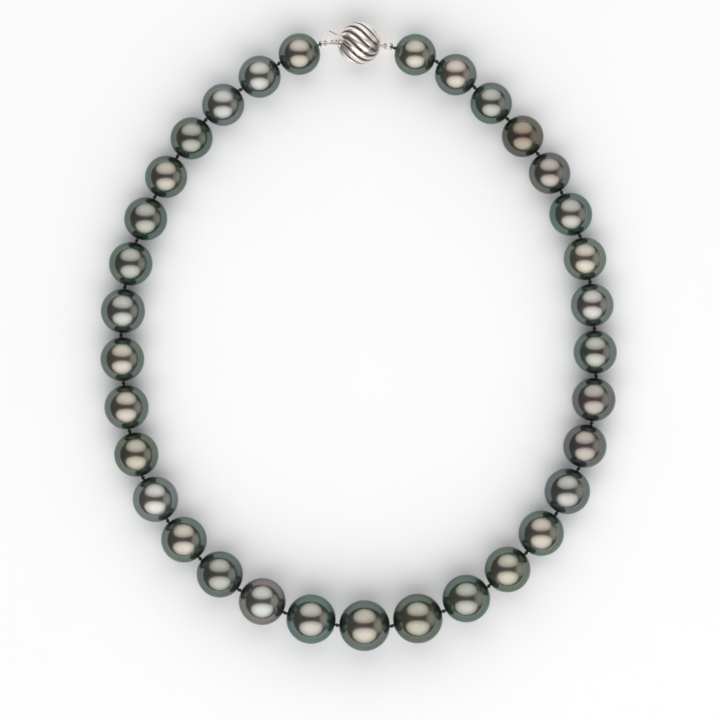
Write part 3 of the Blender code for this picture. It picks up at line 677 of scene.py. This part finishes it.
barrel = np.array([(-z, r) for z, r in edge] + edge[::-1])
a = np.linspace(0, TAU, 28, endpoint=False)
roll = np.stack([barrel[:, 1:] * np.cos(a), barrel[:, 1:] * np.sin(a), barrel[:, :1] * np.ones_like(a)], axis=-1)
make_piece("thumb_lever", [leaf_shell, ring_loft(roll + ball + ROOT)], GOLD, body_of["spring_leaf"], ["spring_leaf"])

box_node = frame["nodes"]["catch_box"]
box_node.data.materials.clear()
box_node.data.materials.append(INSIDE)

# ================================================================ stage
floor_mat, tree, shader = finish_of("pale_paper")
coords = node(tree, "TexCoord").outputs["Object"]
paper = blend_of(tree, speckle(tree, coords, 40.0), (0.90, 0.90, 0.90), (0.92, 0.92, 0.92))
tree.links.new(paper, shader.inputs["Base Color"])
shader.inputs["Roughness"].default_value = 0.9
shader.inputs["Specular IOR Level"].default_value = 0.1
floor_mesh = bpy.data.meshes.new("table")
REACH = 1.1                                     # half the table's side, in metres
corners = [(-REACH, -REACH, 0), (REACH, -REACH, 0), (REACH, REACH, 0), (-REACH, REACH, 0)]
floor_mesh.from_pydata(corners, [], [(0, 1, 2, 3)])
floor_mesh.materials.append(floor_mat)
floor = bpy.data.objects.new("table", floor_mesh)
bpy.context.scene.collection.objects.link(floor)


def soft_box(name, lean, wide, tall, power, distance=1.3, swing=0.0, core=0.75):
    """An oval diffuser that looks at the strand from 'lean' degrees off straight above, towards +Y if positive, turned
    round the vertical by 'swing'. It is brightest over its core and fades to half at its rim, as cloth over a lamp does."""
    light = bpy.data.lights.new(name, "AREA")
    light.shape, light.size, light.size_y, light.energy = "ELLIPSE", wide, tall, power
    obj = bpy.data.objects.new(name, light)
    a, w = math.radians(lean), math.radians(swing)
    obj.location = (-distance * math.sin(a) * math.sin(w), distance * math.sin(a) * math.cos(w), distance * math.cos(a))
    obj.rotation_euler = (-a, 0, w)
    obj.visible_camera = False
    bpy.context.scene.collection.objects.link(obj)
    light.use_nodes = True
    tree = light.node_tree
    place = node(tree, "Mapping", vector_type="TEXTURE", Location=tuple(obj.location), Rotation=tuple(obj.rotation_euler),
                 Scale=(wide / 2, tall / 2, 1.0))
    tree.links.new(node(tree, "NewGeometry").outputs["Position"], place.inputs["Vector"])
    fade = node(tree, "TexGradient", gradient_type="SPHERICAL")
    tree.links.new(place.outputs["Vector"], fade.inputs["Vector"])
    glow = reshaped(tree, fade.outputs["Fac"], 0.0, core, 0.6, 1.2, smooth=True)
    tree.links.new(glow, tree.nodes["Emission"].inputs["Strength"])


soft_box("soft_box_far", 49.0, 2.9, 1.95, 20.5)
soft_box("soft_box_near", -45.0, 3.0, 1.95, 28.5)
soft_box("soft_box_side", 66.0, 1.5, 1.3, 2.4, swing=-90.0)

world = bpy.data.worlds.new("studio")
world.use_nodes = True
bpy.context.scene.world = world
sky = world.node_tree
back = sky.nodes["Background"]
back.inputs["Color"].default_value = (0.97, 0.98, 1.0, 1)
# a bright backdrop to look at, and a dim room for the strand to reflect
seen = node(sky, "LightPath").outputs["Is Camera Ray"]
sky.links.new(reshaped(sky, seen, 0.0, 1.0, 0.05, 0.95), back.inputs["Strength"])

camera = bpy.data.objects.new("camera", bpy.data.cameras.new("camera"))
camera.data.lens, camera.data.sensor_width = 162.5, 36.0
camera.data.clip_start, camera.data.clip_end = 0.01, 20.0
camera.location = (0.00038, -0.00655, 0.9)
camera.rotation_euler = (0, 0, 0.0025)
bpy.context.scene.collection.objects.link(camera)
bpy.context.scene.camera = camera
bpy.context.scene.view_settings.view_transform = "Standard"
